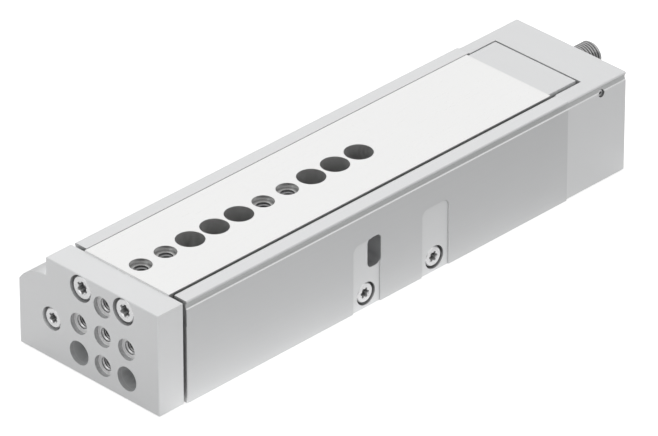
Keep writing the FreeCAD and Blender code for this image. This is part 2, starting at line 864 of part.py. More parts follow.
def make_plug_screw():
    outer = half_width - plug_recess
    plug = round_y(outer - plug_length, outer, plug_x, plug_z, plug_diameter)
    socket = hexagon_x(0, plug_length / 2, 0, 0, plug_key)
    socket.Placement = FreeCAD.Placement(Vec(plug_x, outer - plug_length / 2, plug_z),
                                         FreeCAD.Rotation(Vec(1, 0, 0), Vec(0, 1, 0)))
    return plug.cut(socket)


pieces = {
    "housing": make_housing(),
    "rear_block": make_rear_block(),
    "rear_block_screws": make_rear_screws(),
    "guide_rail_right": make_rail(1),
    "guide_rail_left": make_rail(-1),
    "ball_cage_right": make_cage(1),
    "ball_cage_left": make_cage(-1),
    "slide_table": make_slide(),
    "slide_end_plate": make_end_plate(),
    "end_plate_screws": make_end_screws(),
    "yoke_plate": make_yoke(),
    "yoke_screws": make_yoke_screws(),
    "rod_screw": make_rod_screw(),
    "piston_rod": make_rod(),
    "piston": make_piston(),
    "piston_seals": make_piston_seals(),
    "piston_magnet": make_piston_magnet(),
    "piston_guide_ring": make_piston_guide_ring(),
    "piston_nut": make_piston_nut(),
    "rod_bearing_bush": make_bush(),
    "rod_seal": make_rod_seal(),
    "rod_retaining_ring": make_retaining_ring(),
    "front_cushion_ring": make_front_cushion(),
    "cylinder_gasket": make_gasket(),
    "front_stop_block": make_stop_block(),
    "side_screws": make_side_screws(),
    "stop_clamp_screw": make_clamp_screw(),
    "front_stop_sleeve": make_front_sleeve(),
    "front_stop_buffer": make_front_buffer(),
    "rear_stop_sleeve": make_rear_sleeve(),
    "rear_stop_buffer": make_rear_buffer(),
    "rear_stop_grub_screw": make_rear_grub(),
    "plug_screw": make_plug_screw(),
}
for name, shape in pieces.items():
    shape.exportStep("parts/" + name + ".step")
    print(name, "solids", len(shape.Solids), "valid", shape.isValid(), "volume", round(shape.Volume, 1))
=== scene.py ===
import json
import math

import bpy
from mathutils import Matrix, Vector


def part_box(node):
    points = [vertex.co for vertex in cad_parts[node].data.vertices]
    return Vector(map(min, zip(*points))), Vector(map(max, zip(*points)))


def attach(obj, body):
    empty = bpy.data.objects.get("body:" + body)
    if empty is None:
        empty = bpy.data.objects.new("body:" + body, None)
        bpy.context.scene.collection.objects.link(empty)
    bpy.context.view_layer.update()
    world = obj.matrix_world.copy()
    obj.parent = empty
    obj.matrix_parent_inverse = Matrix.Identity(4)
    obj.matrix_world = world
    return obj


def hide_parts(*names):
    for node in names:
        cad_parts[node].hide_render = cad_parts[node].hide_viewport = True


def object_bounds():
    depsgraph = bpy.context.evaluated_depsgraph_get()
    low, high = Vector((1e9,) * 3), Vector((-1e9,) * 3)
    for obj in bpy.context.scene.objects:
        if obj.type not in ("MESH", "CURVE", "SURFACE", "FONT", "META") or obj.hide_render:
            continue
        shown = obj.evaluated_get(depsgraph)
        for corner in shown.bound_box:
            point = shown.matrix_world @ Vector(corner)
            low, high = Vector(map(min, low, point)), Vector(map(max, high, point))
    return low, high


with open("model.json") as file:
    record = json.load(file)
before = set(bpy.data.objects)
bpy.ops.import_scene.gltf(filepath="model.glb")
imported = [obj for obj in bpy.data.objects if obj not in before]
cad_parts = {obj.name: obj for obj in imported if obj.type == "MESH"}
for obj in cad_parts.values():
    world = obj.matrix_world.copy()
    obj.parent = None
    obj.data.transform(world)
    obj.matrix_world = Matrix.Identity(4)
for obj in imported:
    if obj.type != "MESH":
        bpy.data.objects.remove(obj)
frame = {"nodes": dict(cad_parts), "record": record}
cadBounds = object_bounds()
nodes = frame["nodes"]
mm = 0.001
samples = {"nearby": 8, "edge": 6}
print("frame loaded:", len(nodes), "nodes")


# node helpers
def put(tree, kind, links=None, **settings):
    # adds a node, sets its properties, then fills or links its inputs
    node = tree.nodes.new(kind)
    for key, value in settings.items():
        setattr(node, key, value)
    for key, value in (links or {}).items():
        socket = node.inputs[key]
        if isinstance(value, bpy.types.NodeSocket):
            tree.links.new(value, socket)
        else:
            socket.default_value = value
    return node


def calc(tree, operation, a, b):
    return put(tree, "ShaderNodeMath", {0: a, 1: b}, operation=operation).outputs["Value"]


def newMaterial(name):
    material = bpy.data.materials.new(name)
    material.use_nodes = True
    tree = material.node_tree
    tree.nodes.clear()
    output = put(tree, "ShaderNodeOutputMaterial")
    shader = put(tree, "ShaderNodeBsdfPrincipled")
    tree.links.new(shader.outputs["BSDF"], output.inputs["Surface"])
    return material, tree, shader


def grainNoise(tree, scale, stretch=(1, 1, 1), detail=3.0):
    # noise in metres of the object, stretched along one axis for drawn or ground lines
    place = put(tree, "ShaderNodeTexCoord")
    mapping = put(tree, "ShaderNodeMapping", {"Vector": place.outputs["Object"], "Scale": stretch})
    return put(tree, "ShaderNodeTexNoise", {
        "Vector": mapping.outputs["Vector"], "Scale": scale, "Detail": detail})


def spread(tree, value, low, high, fromLow=0.3, fromHigh=0.7):
    # remaps a value from one range to another. Without a first range, the middle of a noise is used
    return put(tree, "ShaderNodeMapRange", {
        "Value": value, "From Min": fromLow, "From Max": fromHigh, "To Min": low, "To Max": high,
    }).outputs["Result"]


def bandMask(tree, band):
    # one inside a box of the object, such as milled faces at one depth, and zero outside. The box holds
    # distances from the origin, so it lies on both sides of it
    place = put(tree, "ShaderNodeTexCoord")
    split = put(tree, "ShaderNodeSeparateXYZ", {"Vector": place.outputs["Object"]})
    mask = 1.0
    for axis in (a for a in "XYZ" if a in band):
        low, high = band[axis]
        value = calc(tree, "ABSOLUTE", split.outputs[axis], 0.0)
        beyond = calc(tree, "GREATER_THAN", value, low)
        within = calc(tree, "LESS_THAN", value, high)
        mask = calc(tree, "MULTIPLY", calc(tree, "MULTIPLY", beyond, within), mask)
    return mask


def mixTone(tree, factor, first, second, blend="MIX"):
    mix = put(tree, "ShaderNodeMix", {"Factor": factor}, data_type="RGBA", blend_type=blend)
    for name, value in (("A", first), ("B", second)):
        socket = [s for s in mix.inputs if s.name == name and s.type == "RGBA"][0]
        if isinstance(value, bpy.types.NodeSocket):
            tree.links.new(value, socket)
        else:
            socket.default_value = value
    return [s for s in mix.outputs if s.type == "RGBA"][0]


def bandTones(tree, tone, bands):
    for band in bands:
        tone = mixTone(tree, bandMask(tree, band), tone, (*band["colour"], 1))
    return tone


def closeness(tree, reach, span, ownOnly):
    # zero on an open face, and one where other faces stand close in front of it. It sets how much shade is
    # painted into a colour
    nearby = put(tree, "ShaderNodeAmbientOcclusion", {"Distance": reach}, samples=samples["nearby"],
                 only_local=ownOnly)
    return spread(tree, nearby.outputs["AO"], 1.0, 0.0, *span)


def metalFinish(name, look):
    # a metal with grain, drawn lines, slow changes of tone and softened edges, with bands of a set tone,
    # painted shade where faces stand close and painted highlights on some faces
    material, tree, shader = newMaterial(name)
    grain = grainNoise(tree, look["grainScale"])
    lines = grainNoise(tree, look["lineScale"], look["lineStretch"], detail=2.0)
    cloud = grainNoise(tree, look["cloudScale"])
    tone = mixTone(tree, spread(tree, cloud.outputs["Fac"], 0.0, 1.0),
                   (*[v * (1 - look["toneChange"]) for v in look["colour"]], 1),
                   (*[min(1.0, v * (1 + look["toneChange"])) for v in look["colour"]], 1))
    tone = bandTones(tree, tone, look.get("bands", []))
    # painted shade where faces stand close: in holes, grooves, recesses, sockets and thread valleys
    if "cavityShade" in look:
        closed = closeness(tree, look["cavityReach"], look["cavitySpan"], look.get("cavityLocal", True))
        tone = mixTone(tree, closed, tone, (*[look["cavityShade"]] * 3, 1), "MULTIPLY")
    for gap in look.get("gapShades", []):
        # painted shade on a face that another piece closes off at rest, and that a joint opens
        near = closeness(tree, look["cavityReach"], gap["span"], False)
        shut = calc(tree, "MULTIPLY", bandMask(tree, gap), near)
        tone = mixTone(tree, shut, tone, (*gap["colour"], 1), "MULTIPLY")
    # painted highlights, laid over the painted shade
    tone = bandTones(tree, tone, look.get("litBands", []))
    tree.links.new(tone, shader.inputs["Base Color"])
    rough = put(tree, "ShaderNodeMath", {
        0: spread(tree, grain.outputs["Fac"], -look["roughChange"], look["roughChange"]),
        1: spread(tree, lines.outputs["Fac"], look["roughness"] - look["roughChange"],
                  look["roughness"] + look["roughChange"]),
    }, operation="ADD", use_clamp=True)
    tree.links.new(rough.outputs["Value"], shader.inputs["Roughness"])
    edge = put(tree, "ShaderNodeBevel", {"Radius": look["edgeRadius"]}, samples=samples["edge"])
    lineBump = put(tree, "ShaderNodeBump", {
        "Strength": look["lineBump"], "Distance": look["bumpDepth"],
        "Height": lines.outputs["Fac"], "Normal": edge.outputs["Normal"]})
    grainBump = put(tree, "ShaderNodeBump", {
        "Strength": look["grainBump"], "Distance": look["bumpDepth"],
        "Height": grain.outputs["Fac"], "Normal": lineBump.outputs["Normal"]})
    tree.links.new(grainBump.outputs["Normal"], shader.inputs["Normal"])
    shader.inputs["Metallic"].default_value = look["metallic"]
    return material


def softFinish(name, look):
    # rubber and plastic: a fine grain over one colour
    material, tree, shader = newMaterial(name)
    grain = grainNoise(tree, look["grainScale"])
    tone = mixTone(tree, spread(tree, grain.outputs["Fac"], 0.0, 1.0),
                   (*[v * (1 - look["toneChange"]) for v in look["colour"]], 1),
                   (*[min(1.0, v * (1 + look["toneChange"])) for v in look["colour"]], 1))
    tree.links.new(tone, shader.inputs["Base Color"])
    bump = put(tree, "ShaderNodeBump", {
        "Strength": look["grainBump"], "Distance": look["bumpDepth"], "Height": grain.outputs["Fac"]})
    tree.links.new(bump.outputs["Normal"], shader.inputs["Normal"])
    shader.inputs["Roughness"].default_value = look["roughness"]
    return material


def inFrom(face, depths):
    # the span between two depths behind a face
    return tuple(face - depth for depth in depths)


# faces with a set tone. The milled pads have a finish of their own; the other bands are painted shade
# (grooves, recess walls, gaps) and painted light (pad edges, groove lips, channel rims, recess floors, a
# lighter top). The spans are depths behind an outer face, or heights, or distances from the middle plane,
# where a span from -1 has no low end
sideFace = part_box("housing")[1].y
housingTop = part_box("housing")[1].z
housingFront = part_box("housing")[1].x
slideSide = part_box("slide_table")[1].y
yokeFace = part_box("yoke_plate")[1].x
spans = {
    "pad": (0.55 * mm, 0.45 * mm), "padEdge": (0.46 * mm, 0.03 * mm), "padHeight": (0, 34 * mm),
    "grooveDrop": (3.4 * mm, 0.85 * mm), "lipDrop": (3.8 * mm, 3.35 * mm), "lipDepth": (0.4 * mm, -0.1 * mm),
    "top": (0.05 * mm, -0.05 * mm), "rimDrop": (1.5 * mm, 0.02 * mm), "channelHalf": (23.6 * mm, 23.8 * mm),
    "gap": (0.1 * mm, -0.1 * mm), "recessFloor": (2.2 * mm, 2.0 * mm), "recessWall": (2.0 * mm, 0.05 * mm),
    "recessWide": (-1, 28 * mm), "recessNarrow": (-1, 6 * mm), "recessHeight": (3 * mm, 43.5 * mm),
    "upperHeight": (17 * mm, 43.5 * mm), "lowerHeight": (3 * mm, 17 * mm),
}
grooveMouth = 0.02 * mm
# painted shade in the gaps between pieces, darker where another piece stands close
gapShadeLook = {"span": (0.1, 0.6), "colour": (0.45, 0.45, 0.45)}
milledPads = {"Y": inFrom(sideFace, spans["pad"]), "Z": spans["padHeight"], "colour": (0.82, 0.825, 0.83)}
# painted highlight on the pads' step walls
padEdgeHighlight = {"Y": inFrom(sideFace, spans["padEdge"]), "Z": spans["padHeight"], "colour": (0.96, 0.965, 0.97)}
# painted shade in the long grooves, and on the channel's inner walls at the same height
grooveShade = {"Y": (0, sideFace - grooveMouth), "Z": inFrom(housingTop, spans["grooveDrop"]),
               "colour": (0.62, 0.63, 0.63)}
# painted highlight on the groove's lower lip
grooveLipHighlight = {"Y": inFrom(sideFace, spans["lipDepth"]), "Z": inFrom(housingTop, spans["lipDrop"]),
              "colour": (0.97, 0.975, 0.98)}
# painted light: the housing's top face is made lighter
paintedLightTop = {"Z": inFrom(housingTop, spans["top"]), "colour": (0.80, 0.805, 0.81)}
# painted highlight on the channel's inner rims
channelRimHighlight = {"Y": spans["channelHalf"], "Z": inFrom(housingTop, spans["rimDrop"]),
               "colour": (0.78, 0.785, 0.79)}
frontGapShade = {**gapShadeLook, "X": inFrom(housingFront, spans["gap"])}
slideGapShade = {**gapShadeLook, "Y": inFrom(slideSide, spans["gap"])}
# painted highlight on the floors of the yoke's thread recesses
recessFloorHighlight = {"X": inFrom(yokeFace, spans["recessFloor"]), "Y": spans["recessWide"],
                "Z": spans["recessHeight"], "colour": (0.99, 0.99, 0.99)}
# painted shade on the walls of the yoke's thread recesses
upperRecessWallShade = {"X": inFrom(yokeFace, spans["recessWall"]), "Y": spans["recessWide"],
                    "Z": spans["upperHeight"], "colour": (0.60, 0.605, 0.61)}
lowerRecessWallShade = {**upperRecessWallShade, "Y": spans["recessNarrow"], "Z": spans["lowerHeight"]}

# finishes
anodisedHousing = {
    "colour": (0.71, 0.715, 0.72), "metallic": 0.75, "roughness": 0.46, "roughChange": 0.03,
    "toneChange": 0.015, "grainScale": 5200, "grainBump": 0.10, "lineScale": 1.0,
    "lineStretch": (6, 2600, 2600), "lineBump": 0.06, "cloudScale": 9, "bumpDepth": 0.02 * mm,
    "edgeRadius": 0.15 * mm, "cavityShade": 0.25, "cavityReach": 6 * mm, "cavitySpan": (0.25, 0.95),
}
anodisedCover = {
    **anodisedHousing, "colour": (0.79, 0.795, 0.80), "metallic": 0.4, "lineStretch": (900, 40, 900),
    "lineBump": 0.03,
}
anodisedYoke = {
    **anodisedHousing, "colour": (0.83, 0.835, 0.84), "metallic": 0.5, "lineStretch": (900, 40, 900),
    "lineBump": 0.03, "cavityShade": 0.12, "cavitySpan": (0.05, 0.65),
}
# painted shade: the stop block, seen through the slot, gets a dark colour
shadedStopBlock = {**anodisedCover, "colour": (0.30, 0.305, 0.31)}
groundSteel = {
    "colour": (0.92, 0.92, 0.915), "metallic": 0.9, "roughness": 0.30, "roughChange": 0.02,
    "toneChange": 0.01, "grainScale": 3000, "grainBump": 0.03, "lineScale": 1.0,
    "lineStretch": (25, 5200, 5200), "lineBump": 0.03, "cloudScale": 7, "bumpDepth": 0.01 * mm,
    "edgeRadius": 0.15 * mm, "cavityShade": 0.14, "cavityReach": 5 * mm, "cavitySpan": (0.25, 0.95),
}
platedSteel = {
    "colour": (0.80, 0.80, 0.805), "metallic": 1.0, "roughness": 0.26, "roughChange": 0.05,
    "toneChange": 0.03, "grainScale": 2600, "grainBump": 0.08, "lineScale": 400,
    "lineStretch": (1, 1, 1), "lineBump": 0.03, "cloudScale": 300, "bumpDepth": 0.02 * mm,
    "edgeRadius": 0.15 * mm,
}
polishedSteel = {**platedSteel, "colour": (0.78, 0.78, 0.79), "roughness": 0.12, "roughChange": 0.02}
# the ridges in tapped holes: a darker copy of the plated steel as painted shade, darker still deep inside;
# the slide's copy is darker again
shadedTapMetal = {**platedSteel, "colour": (0.62, 0.62, 0.625), "roughness": 0.35, "cavityShade": 0.02,
               "cavityReach": 12 * mm, "cavitySpan": (0.08, 0.50), "cavityLocal": False}
shadedTapSteel = {**shadedTapMetal, "colour": (0.28, 0.28, 0.285)}
# the faces inside the key sockets: a lighter, less metallic copy of the screw steel as painted light on the
# socket walls, with painted shade deep inside
socketSteel = {**platedSteel, "colour": (0.85, 0.85, 0.855), "metallic": 0.4, "roughness": 0.5,
               "cavityShade": 0.05, "cavityReach": 8 * mm, "cavitySpan": (0.05, 0.40)}
# the stops' steel is darker than the screws' as painted shade, with painted shade in the thread valleys
threadedStop = {**platedSteel, "colour": (0.66, 0.66, 0.665), "roughness": 0.18, "cavityShade": 0.02,
                "cavityReach": 1.2 * mm, "cavitySpan": (0.62, 0.97)}
blackSteel = {**platedSteel, "colour": (0.10, 0.10, 0.105), "roughness": 0.40}
bearingBronze = {**platedSteel, "colour": (0.58, 0.43, 0.22), "roughness": 0.45}
turnedAlloy = {**platedSteel, "colour": (0.68, 0.685, 0.69), "roughness": 0.34, "lineStretch": (900, 2, 2)}
sealRubber = {"colour": (0.025, 0.025, 0.026), "roughness": 0.62, "grainScale": 2400, "grainBump": 0.3,
              "toneChange": 0.1, "bumpDepth": 0.02 * mm}
bufferRubber = {**sealRubber, "colour": (0.05, 0.05, 0.052), "roughness": 0.55, "grainScale": 2000}
guidePlastic = {**sealRubber, "colour": (0.72, 0.70, 0.62), "roughness": 0.45, "grainScale": 1800,
                "grainBump": 0.2}
magnetBond = {**sealRubber, "colour": (0.07, 0.07, 0.075), "roughness": 0.5, "grainScale": 4000,
              "grainBump": 0.4}

finishes = {
    "anodised_housing": metalFinish("anodisedHousing", {
        **anodisedHousing, "bands": [milledPads, grooveShade, grooveLipHighlight, paintedLightTop],
        "litBands": [padEdgeHighlight, channelRimHighlight], "gapShades": [frontGapShade]}),
    "anodised_cover": metalFinish("anodisedCover", {**anodisedCover, "bands": [grooveShade, grooveLipHighlight]}),
    "anodised_yoke": metalFinish("anodisedYoke", {
        **anodisedYoke, "bands": [upperRecessWallShade, lowerRecessWallShade], "litBands": [recessFloorHighlight]}),
    "ground_steel": metalFinish("groundSteel", {**groundSteel, "gapShades": [slideGapShade]}),
    "screw_steel": metalFinish("platedScrews", platedSteel),
    "stop_steel": metalFinish("threadedStops", threadedStop),
    "stop_block_alloy": metalFinish("shadedStopBlock", shadedStopBlock),
    "ball_steel": metalFinish("polishedBalls", polishedSteel),
    "chromed_rod": metalFinish("chromedRod", polishedSteel),
    "piston_alloy": metalFinish("turnedPiston", turnedAlloy),
    "bearing_bronze": metalFinish("bearingBronze", bearingBronze),
    "spring_steel": metalFinish("blackSpringSteel", blackSteel),
    "seal_rubber": softFinish("sealRubber", sealRubber),
    "buffer_rubber": softFinish("bufferRubber", bufferRubber),
    "guide_plastic": softFinish("guidePlastic", guidePlastic),
    "magnet": softFinish("magnetBond", magnetBond),
}
for entry in frame["record"]["subparts"]:
    mesh = nodes[entry["node"]].data
    mesh.materials.clear()
    mesh.materials.append(finishes[entry["material_slot"]])
innerFinishes = {
    "shadedTapMetal": metalFinish("shadedTapMetal", shadedTapMetal),
    "shadedTapSteel": metalFinish("shadedTapSteel", shadedTapSteel),
    "socket": metalFinish("socketSteel", socketSteel),
}
print("finishes:", len(finishes) + len(innerFinishes))


# geometry node helpers. Corner counts, shares of a thread's pitch, and the overlaps that keep cuts clean
build = {
    "smoothAngle": math.radians(28), "headCorners": 64, "shankCorners": 32, "keyCorners": 36,
    "lobeCorners": 14, "sinkCorners": 48, "lobes": 6, "hexagon": 6, "turnSteps": 32, "ridgeShare": 0.48,
    "holeInset": 0.6, "over": 0.2 * mm, "shy": 0.05 * mm,
}


def newTree(name, sizes):
    # a geometry tree with points in, named sizes, a turn and two materials
    tree = bpy.data.node_groups.new(name, "GeometryNodeTree")
    tree.interface.new_socket("Geometry", in_out="INPUT", socket_type="NodeSocketGeometry")
    for label in sizes:
        tree.interface.new_socket(label, in_out="INPUT", socket_type="NodeSocketFloat")
    tree.interface.new_socket("turn", in_out="INPUT", socket_type="NodeSocketRotation")
    tree.interface.new_socket("finish", in_out="INPUT", socket_type="NodeSocketMaterial")
    tree.interface.new_socket("innerFinish", in_out="INPUT", socket_type="NodeSocketMaterial")
    tree.interface.new_socket("Geometry", in_out="OUTPUT", socket_type="NodeSocketGeometry")
    source = put(tree, "NodeGroupInput")
    return tree, source.outputs


def upright(tree, low, depth, bottom, top, corners):
    # a round or many-sided solid standing on height low
    solid = put(tree, "GeometryNodeMeshCone", {
        "Vertices": corners, "Radius Bottom": bottom, "Radius Top": top, "Depth": depth})
    height = put(tree, "ShaderNodeCombineXYZ", {"Z": low})
    return put(tree, "GeometryNodeTransform", {
        "Geometry": solid.outputs["Mesh"], "Translation": height.outputs["Vector"]}).outputs["Geometry"]


def joined(tree, parts):
    node = put(tree, "GeometryNodeJoinGeometry")
    for part in parts:
        tree.links.new(part, node.inputs["Geometry"])
    return node.outputs["Geometry"]


def united(tree, parts):
    node = put(tree, "GeometryNodeMeshBoolean", operation="UNION", solver="EXACT")
    for part in parts:
        tree.links.new(part, node.inputs["Mesh 2"])
    return node.outputs["Mesh"]


def carved(tree, solid, tools):
    node = put(tree, "GeometryNodeMeshBoolean", {"Mesh 1": solid}, operation="DIFFERENCE", solver="EXACT")
    for tool in tools:
        tree.links.new(tool, node.inputs["Mesh 2"])
    return node.outputs["Mesh"]


def finishTree(tree, source, shape):
    # stands the shape on every point, turns it, and makes it one plain mesh with smooth rounds. Faces
    # that the shape marks as inner get the second finish
    stand = put(tree, "GeometryNodeInstanceOnPoints", {
        "Points": source["Geometry"], "Instance": shape, "Rotation": source["turn"]})
    real = put(tree, "GeometryNodeRealizeInstances", {"Geometry": stand.outputs["Instances"]})
    angle = put(tree, "GeometryNodeInputMeshEdgeAngle")
    flat = put(tree, "FunctionNodeCompare", {"A": angle.outputs["Unsigned Angle"], "B": build["smoothAngle"]},
               data_type="FLOAT", operation="LESS_THAN")
    faces = put(tree, "GeometryNodeSetShadeSmooth", {"Geometry": real.outputs["Geometry"]}, domain="FACE")
    edges = put(tree, "GeometryNodeSetShadeSmooth", {
        "Geometry": faces.outputs["Geometry"], "Shade Smooth": flat.outputs["Result"]}, domain="EDGE")
    paint = put(tree, "GeometryNodeSetMaterial", {
        "Geometry": edges.outputs["Geometry"], "Material": source["finish"]})
    inner = put(tree, "GeometryNodeInputNamedAttribute", {"Name": "inner"}, data_type="BOOLEAN")
    second = put(tree, "GeometryNodeSetMaterial", {
        "Geometry": paint.outputs["Geometry"], "Selection": inner.outputs["Attribute"],
        "Material": source["innerFinish"]})
    output = put(tree, "NodeGroupOutput")
    tree.links.new(second.outputs["Geometry"], output.inputs["Geometry"])


def innerFaces(tree, shape, radius, low, high):
    # marks the faces of a recess: those whose middle lies near the axis, between two heights
    place = put(tree, "GeometryNodeInputPosition")
    split = put(tree, "ShaderNodeSeparateXYZ", {"Vector": place.outputs["Position"]})
    squares = [calc(tree, "MULTIPLY", split.outputs[axis], split.outputs[axis]) for axis in "XY"]
    across = calc(tree, "SQRT", calc(tree, "ADD", *squares), 0.0)
    near = calc(tree, "LESS_THAN", across, radius)
    above = calc(tree, "GREATER_THAN", split.outputs["Z"], low)
    below = calc(tree, "LESS_THAN", split.outputs["Z"], high)
    inside = calc(tree, "MULTIPLY", near, calc(tree, "MULTIPLY", above, below))
    mark = put(tree, "GeometryNodeStoreNamedAttribute", {
        "Geometry": shape, "Name": "inner", "Value": inside}, data_type="BOOLEAN", domain="FACE")
    return mark.outputs["Geometry"]


def helix(tree, source, radius, low, length):
    # one screw ridge, a diamond in section that is half sunk in the wall it stands on
    turns = calc(tree, "DIVIDE", length, source["pitch"])
    spiral = put(tree, "GeometryNodeCurveSpiral", {
        "Resolution": build["turnSteps"], "Rotations": turns, "Start Radius": radius, "End Radius": radius,
        "Height": length})
    lift = put(tree, "ShaderNodeCombineXYZ", {"Z": low})
    raised = put(tree, "GeometryNodeTransform", {
        "Geometry": spiral.outputs["Curve"], "Translation": lift.outputs["Vector"]})
    upward = put(tree, "GeometryNodeSetCurveNormal", {"Curve": raised.outputs["Geometry"]}, mode="Z_UP")
    diamond = put(tree, "GeometryNodeCurvePrimitiveCircle", {"Resolution": 4, "Radius": 1.0})
    shape = put(tree, "ShaderNodeCombineXYZ", {
        "X": source["depth"], "Y": calc(tree, "MULTIPLY", source["pitch"], build["ridgeShare"]), "Z": 1.0})
    profile = put(tree, "GeometryNodeTransform", {
        "Geometry": diamond.outputs["Curve"], "Scale": shape.outputs["Vector"]})
    ridge = put(tree, "GeometryNodeCurveToMesh", {
        "Curve": upward.outputs["Curve"], "Profile Curve": profile.outputs["Geometry"], "Fill Caps": True})
    return ridge.outputs["Mesh"]


def capScrewTree():
    # socket cap screw: chamfered head, six-lobed recess, plain shank
    tree, source = newTree("capScrew", [
        "headRadius", "headHeight", "rim", "shankRadius", "shankLength", "keyRadius", "lobeRadius",
        "keyDepth"])
    over = build["over"]
    crown = calc(tree, "SUBTRACT", source["headHeight"], source["rim"])
    top = calc(tree, "SUBTRACT", source["headRadius"], source["rim"])
    head = upright(tree, 0.0, crown, source["headRadius"], source["headRadius"], build["headCorners"])
    chamfer = upright(tree, crown, source["rim"], source["headRadius"], top, build["headCorners"])
    below = calc(tree, "MULTIPLY", source["shankLength"], -1.0)
    shank = upright(tree, below, calc(tree, "ADD", source["shankLength"], over), source["shankRadius"],
                    source["shankRadius"], build["shankCorners"])
    floor = calc(tree, "SUBTRACT", source["headHeight"], source["keyDepth"])
    reach = calc(tree, "ADD", source["keyDepth"], over)
    core = upright(tree, floor, reach, source["keyRadius"], source["keyRadius"], build["keyCorners"])
    lobe = upright(tree, floor, reach, source["lobeRadius"], source["lobeRadius"], build["lobeCorners"])
    ring = put(tree, "GeometryNodeMeshCircle", {"Vertices": build["lobes"], "Radius": source["keyRadius"]})
    lobes = put(tree, "GeometryNodeInstanceOnPoints", {"Points": ring.outputs["Mesh"], "Instance": lobe})
    lobesReal = put(tree, "GeometryNodeRealizeInstances", {"Geometry": lobes.outputs["Instances"]})
    mouth = calc(tree, "ADD", source["keyRadius"], source["lobeRadius"])
    sink = upright(tree, calc(tree, "SUBTRACT", source["headHeight"], over), calc(tree, "ADD", over, over),
                   calc(tree, "SUBTRACT", mouth, over), calc(tree, "ADD", mouth, over), build["sinkCorners"])
    body = united(tree, [head, chamfer, shank])
    screw = carved(tree, body, [core, lobesReal.outputs["Geometry"], sink])
    marked = innerFaces(tree, screw, mouth, calc(tree, "SUBTRACT", floor, build["shy"]), crown)
    finishTree(tree, source, marked)
    return tree


def threadedRodTree():
    # threaded rod with a key socket in its upper end, which is chamfered
    tree, source = newTree("threadedRod", [
        "radius", "length", "pitch", "depth", "plain", "rim", "keyRadius", "keyDepth"])
    length, rim, keyRadius = source["length"], source["rim"], source["keyRadius"]
    coreRadius = calc(tree, "SUBTRACT", source["radius"], source["depth"])
    tipLow = calc(tree, "SUBTRACT", length, rim)
    body = upright(tree, 0.0, tipLow, coreRadius, coreRadius, build["headCorners"])
    endRadius = calc(tree, "SUBTRACT", coreRadius, rim)
    tip = upright(tree, tipLow, rim, coreRadius, endRadius, build["headCorners"])
    floor = calc(tree, "SUBTRACT", length, source["keyDepth"])
    reach = calc(tree, "ADD", source["keyDepth"], build["over"])
    socket = upright(tree, floor, reach, keyRadius, keyRadius, build["hexagon"])
    solid = carved(tree, united(tree, [body, tip]), [socket])
    run = calc(tree, "SUBTRACT", calc(tree, "SUBTRACT", length, source["plain"]), source["pitch"])
    ridge = helix(tree, source, coreRadius, calc(tree, "DIVIDE", source["pitch"], 2.0), run)
    marked = innerFaces(tree, solid, keyRadius, calc(tree, "SUBTRACT", floor, build["shy"]),
                        calc(tree, "SUBTRACT", length, build["shy"]))
    finishTree(tree, source, joined(tree, [marked, ridge]))
    return tree


def holeThreadTree():
    # the ridge of a tapped hole, standing in from the hole's wall
    tree, source = newTree("holeThread", ["radius", "length", "pitch", "depth"])
    inset = calc(tree, "MULTIPLY", source["pitch"], build["holeInset"])
    run = calc(tree, "SUBTRACT", source["length"], calc(tree, "MULTIPLY", inset, 2.0))
    finishTree(tree, source, helix(tree, source, source["radius"], inset, run))
    return tree


def grow(name, tree, points, sizes, turn, finish):
    # runs a tree on a few points and returns the plain mesh it makes
    mesh = bpy.data.meshes.new(name + "Points")
    mesh.from_pydata([tuple(p) for p in points], [], [])
    seed = bpy.data.objects.new(name + "Seed", mesh)
    bpy.context.scene.collection.objects.link(seed)
    modifier = seed.modifiers.new("grow", "NODES")
    modifier.node_group = tree
    values = {**sizes, "turn": turn, "finish": finish, "innerFinish": innerFinishes["socket"]}
    for item in tree.interface.items_tree:
        if item.in_out == "INPUT" and item.name in values:
            modifier[item.identifier] = values[item.name]
    seed.update_tag()
    bpy.context.view_layer.update()
    shaped = bpy.data.meshes.new_from_object(seed.evaluated_get(bpy.context.evaluated_depsgraph_get()))
    shaped.name = name
    bpy.data.objects.remove(seed)
    piece = bpy.data.objects.new(name, shaped)
    bpy.context.scene.collection.objects.link(piece)
    print(name, "faces", len(shaped.polygons))
    return piece


alongX = (0.0, math.pi / 2, 0.0)
againstX = (0.0, -math.pi / 2, 0.0)
alongY = (-math.pi / 2, 0.0, 0.0)
alongZ = (0.0, 0.0, 0.0)
downZ = (math.pi, 0.0, 0.0)
screwTree = capScrewTree()
rodTree = threadedRodTree()
tappedTree = holeThreadTree()


# cap screws
capScrews = {
    "m6": {"headRadius": 5.0 * mm, "headHeight": 6.0 * mm, "rim": 0.5 * mm, "shankRadius": 3.0 * mm,
           "keyRadius": 2.05 * mm, "lobeRadius": 0.72 * mm, "keyDepth": 3.0 * mm},
    "m5": {"headRadius": 4.25 * mm, "headHeight": 5.0 * mm, "rim": 0.45 * mm, "shankRadius": 2.5 * mm,
           "keyRadius": 1.7 * mm, "lobeRadius": 0.6 * mm, "keyDepth": 2.6 * mm},
    "m4": {"headRadius": 3.5 * mm, "headHeight": 4.0 * mm, "rim": 0.35 * mm, "shankRadius": 2.0 * mm,
           "keyRadius": 1.4 * mm, "lobeRadius": 0.5 * mm, "keyDepth": 2.0 * mm},
}


